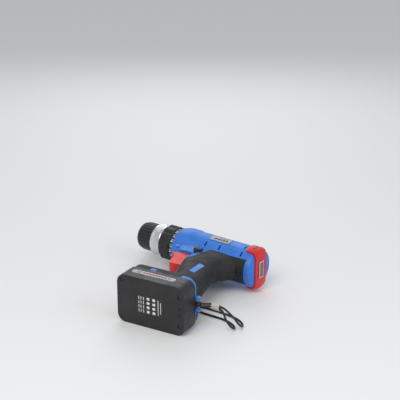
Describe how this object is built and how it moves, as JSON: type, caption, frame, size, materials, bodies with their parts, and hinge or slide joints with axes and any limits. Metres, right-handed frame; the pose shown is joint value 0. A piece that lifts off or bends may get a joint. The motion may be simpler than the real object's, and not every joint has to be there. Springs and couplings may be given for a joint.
{
  "type": "cordless drill driver",
  "caption": "Pistol-grip cordless drill driver lying on its right side, with keyless chuck, torque collar, sliding trigger, slide-on battery pack and a wrist cord.",
  "frame": {"origin": "middle of the underside of the drill's box as it lies on its right side, the wrist cord left out of that box", "axes": "+X runs along the barrel from the chuck to the rear, +Y from the battery pack to the top of the barrel, +Z from the drill's right side, which is underneath, to its left side"},
  "size_m": [0.2364, 0.2012, 0.063],
  "materials": {
    "blue_plastic": "moulded blue plastic, fine satin grain",
    "grip_rubber": "soft black overmould, matt",
    "black_plastic": "black moulded plastic, fine spark-eroded grain",
    "red_plastic": "red moulded plastic, satin",
    "bright_metal": "bright turned and knurled metal",
    "steel": "ground steel",
    "dark_steel": "dark hardened steel",
    "copper": "copper",
    "zinc": "zinc-plated screw",
    "grey_label": "silver grey label film",
    "sticker": "black printed film",
    "cell_wrap": "shrink sleeve",
    "board_green": "circuit board lacquer",
    "gear_grey": "sintered metal",
    "pale_crimp": "pale plastic tube",
    "black_cord": "braided black cord",
    "red_wire": "insulated wire",
    "black_wire": "insulated wire"
  },
  "bodies": {
    "housing": {"housing_left": "blue_plastic", "housing_right": "blue_plastic", "grip_left": "grip_rubber", "grip_right": "grip_rubber", "housing_screw_1": "zinc", "housing_screw_2": "zinc", "housing_screw_3": "zinc", "rear_belt": "red_plastic", "rear_badge": "bright_metal", "side_badge": "grey_label", "trigger_switch": "black_plastic", "gear_case": "gear_grey", "spindle_bearing": "steel", "ring_gear": "gear_grey", "motor_can": "steel", "magnet_ring": "dark_steel", "clutch_spring": "steel", "foot_band": "blue_plastic", "strap_pin": "zinc", "cord_knot": "black_cord", "cord_crimp": "pale_crimp", "wrist_cord": "black_cord", "terminal_block": "black_plastic", "terminal_blade_1": "copper", "terminal_blade_2": "copper", "red_lead": "red_wire", "black_lead": "black_wire"},
    "chuck": {"chuck_body": "dark_steel", "chuck_ring": "bright_metal", "spindle": "steel"},
    "sleeve": {"chuck_sleeve": "black_plastic", "jaw_nut": "steel"},
    "jaw_a": {"jaw_1": "steel"},
    "jaw_b": {"jaw_2": "steel"},
    "jaw_c": {"jaw_3": "steel"},
    "first_carrier": {"carrier_1": "steel"},
    "motor_rotor": {"rotor": "copper", "cooling_fan": "black_plastic"},
    "collar": {"torque_collar": "black_plastic"},
    "trigger_body": {"trigger": "red_plastic"},
    "slider": {"direction_slider": "black_plastic"},
    "selector": {"speed_selector": "black_plastic"},
    "pack": {"pack_tray": "black_plastic", "pack_shell": "black_plastic", "pack_label": "grey_label", "base_sticker": "sticker", "pack_screw_1": "zinc", "pack_screw_2": "zinc", "pack_screw_3": "zinc", "pack_screw_4": "zinc", "cells": "cell_wrap", "cell_holder": "black_plastic", "pack_board": "board_green"},
    "release": {"release_button": "red_plastic"},
    "gear_1_1": {"planet_1_1": "gear_grey"},
    "gear_1_2": {"planet_1_2": "gear_grey"},
    "gear_1_3": {"planet_1_3": "gear_grey"},
    "gear_2_1": {"planet_2_1": "gear_grey"},
    "gear_2_2": {"planet_2_2": "gear_grey"},
    "gear_2_3": {"planet_2_3": "gear_grey"}
  },
  "joints": [
    {"name": "chuck_spin", "type": "hinge", "parent": "housing", "child": "chuck", "pos_m": [-0.09, 0.07087, 0.0315], "axis": [1, 0, 0], "continuous": true},
    {"name": "sleeve_turn", "type": "hinge", "parent": "chuck", "child": "sleeve", "pos_m": [-0.09, 0.07087, 0.0315], "axis": [1, 0, 0], "range_deg": [-834, 245]},
    {"name": "jaw_a_slide", "type": "slide", "parent": "chuck", "child": "jaw_a", "axis": [0.9563, 0, 0.2924], "range_m": [-0.0085, 0.0025]},
    {"name": "jaw_b_slide", "type": "slide", "parent": "chuck", "child": "jaw_b", "axis": [0.9563, -0.2532, -0.1462], "range_m": [-0.0085, 0.0025]},
    {"name": "jaw_c_slide", "type": "slide", "parent": "chuck", "child": "jaw_c", "axis": [0.9563, 0.2532, -0.1462], "range_m": [-0.0085, 0.0025]},
    {"name": "rotor_spin", "type": "hinge", "parent": "housing", "child": "motor_rotor", "pos_m": [-0.09, 0.07087, 0.0315], "axis": [1, 0, 0], "continuous": true},
    {"name": "carrier_spin", "type": "hinge", "parent": "housing", "child": "first_carrier", "pos_m": [-0.09, 0.07087, 0.0315], "axis": [1, 0, 0], "continuous": true},
    {"name": "gear_1_1_spin", "type": "hinge", "parent": "first_carrier", "child": "gear_1_1", "pos_m": [0.01265, 0.08032, 0.0315], "axis": [1, 0, 0], "continuous": true},
    {"name": "gear_1_2_spin", "type": "hinge", "parent": "first_carrier", "child": "gear_1_2", "pos_m": [0.01265, 0.06614, 0.03968], "axis": [1, 0, 0], "continuous": true},
    {"name": "gear_1_3_spin", "type": "hinge", "parent": "first_carrier", "child": "gear_1_3", "pos_m": [0.01265, 0.06614, 0.02332], "axis": [1, 0, 0], "continuous": true},
    {"name": "gear_2_1_spin", "type": "hinge", "parent": "chuck", "child": "gear_2_1", "pos_m": [-0.00235, 0.08032, 0.0315], "axis": [1, 0, 0], "continuous": true},
    {"name": "gear_2_2_spin", "type": "hinge", "parent": "chuck", "child": "gear_2_2", "pos_m": [-0.00235, 0.06614, 0.03968], "axis": [1, 0, 0], "continuous": true},
    {"name": "gear_2_3_spin", "type": "hinge", "parent": "chuck", "child": "gear_2_3", "pos_m": [-0.00235, 0.06614, 0.02332], "axis": [1, 0, 0], "continuous": true},
    {"name": "torque_turn", "type": "hinge", "parent": "housing", "child": "collar", "pos_m": [-0.09, 0.07087, 0.0315], "axis": [1, 0, 0], "range_deg": [0, 270]},
    {"name": "trigger_pull", "type": "slide", "parent": "housing", "child": "trigger_body", "axis": [1, 0, 0], "range_m": [0, 0.006], "stiffness_N_per_m": 600},
    {"name": "direction_slide", "type": "slide", "parent": "housing", "child": "slider", "axis": [0, 0, 1], "range_m": [-0.003, 0.003]},
    {"name": "speed_slide", "type": "slide", "parent": "housing", "child": "selector", "axis": [1, 0, 0], "range_m": [0, 0.006]},
    {"name": "pack_slide", "type": "slide", "parent": "housing", "child": "pack", "axis": [-0.9914, -0.1305, 0], "range_m": [0, 0.085]},
    {"name": "release_press", "type": "slide", "parent": "pack", "child": "release", "axis": [0.9914, 0.1305, 0], "range_m": [0, 0.002], "stiffness_N_per_m": 800}
  ],
  "couplings": [
    {"joint": "jaw_a_slide", "follows": "sleeve_turn", "m_per_rad": 0.00058357},
    {"joint": "jaw_b_slide", "follows": "sleeve_turn", "m_per_rad": 0.00058357},
    {"joint": "jaw_c_slide", "follows": "sleeve_turn", "m_per_rad": 0.00058357},
    {"joint": "rotor_spin", "follows": "chuck_spin", "ratio": 21.778},
    {"joint": "carrier_spin", "follows": "chuck_spin", "ratio": 4.6667},
    {"joint": "gear_1_1_spin", "follows": "chuck_spin", "ratio": -12.833},
    {"joint": "gear_1_2_spin", "follows": "chuck_spin", "ratio": -12.833},
    {"joint": "gear_1_3_spin", "follows": "chuck_spin", "ratio": -12.833},
    {"joint": "gear_2_1_spin", "follows": "chuck_spin", "ratio": -2.75},
    {"joint": "gear_2_2_spin", "follows": "chuck_spin", "ratio": -2.75},
    {"joint": "gear_2_3_spin", "follows": "chuck_spin", "ratio": -2.75}
  ]
}
